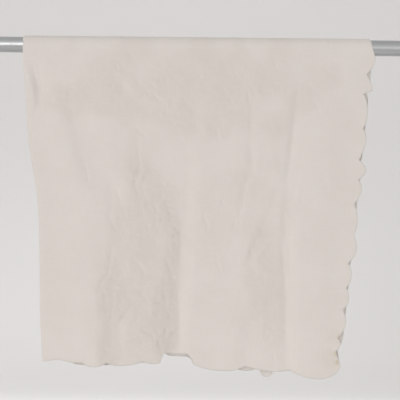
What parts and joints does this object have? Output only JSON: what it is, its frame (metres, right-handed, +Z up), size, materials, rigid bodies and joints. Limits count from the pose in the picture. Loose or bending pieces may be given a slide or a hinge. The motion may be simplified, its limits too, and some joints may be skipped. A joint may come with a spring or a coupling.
{
  "type": "bedspread over rail",
  "caption": "Scalloped cloth bedspread, folded double lengthwise and hung over a round metal rail, with soft uneven folds.",
  "frame": {"origin": "middle of the rail's left end face", "axes": "+X along the rail to its right end, +Y from the room towards the wall behind, +Z up"},
  "size_m": [1.2, 0.0652, 0.9049],
  "materials": {
    "cloth": "natural off-white plain weave, soft and matt, lightly crumpled",
    "rail": "bright, slightly brushed metal tube"
  },
  "bodies": {
    "root": {"bedspread": "cloth", "rail": "rail"}
  },
  "joints": []
}
